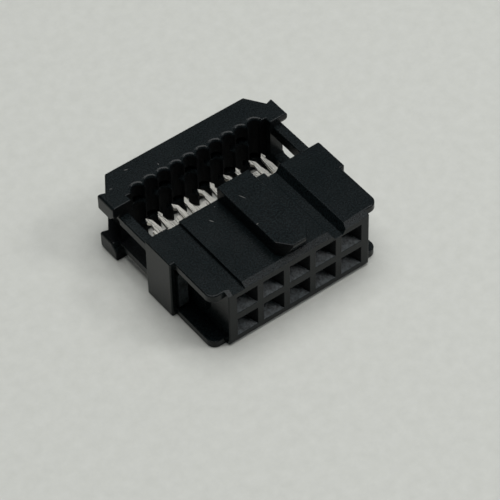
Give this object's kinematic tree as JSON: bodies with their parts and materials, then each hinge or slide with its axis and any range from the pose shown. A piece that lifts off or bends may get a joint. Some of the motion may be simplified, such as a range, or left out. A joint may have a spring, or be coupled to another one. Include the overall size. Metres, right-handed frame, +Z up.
{
  "type": "ribbon cable connector",
  "caption": "Moulded ribbon cable socket with a polarising key, funnelled pin sockets, flat fork contacts and a grooved press-on cover that stands open on slotted legs.",
  "frame": {"origin": "middle of the underside, halfway between the mating face and the back of the open cover", "axes": "+X along the contact columns, +Y from the mating face back to the cover, +Z up through the key"},
  "size_m": [0.0172, 0.0162, 0.0074],
  "materials": {
    "housing_plastic": "black glass-filled thermoplastic, satin from the mould",
    "cover_plastic": "black glass-filled thermoplastic, satin from the mould",
    "tin_plate": "tin plate over stamped phosphor bronze strip"
  },
  "bodies": {
    "socket": {"housing": "housing_plastic", "contact_1": "tin_plate", "contact_2": "tin_plate", "contact_3": "tin_plate", "contact_4": "tin_plate", "contact_5": "tin_plate", "contact_6": "tin_plate", "contact_7": "tin_plate", "contact_8": "tin_plate", "contact_9": "tin_plate", "contact_10": "tin_plate"},
    "press_cover": {"cover": "cover_plastic"}
  },
  "joints": [
    {"name": "cover_press", "type": "slide", "parent": "socket", "child": "press_cover", "axis": [0, -1, 0], "range_m": [0, 0.0025]}
  ]
}
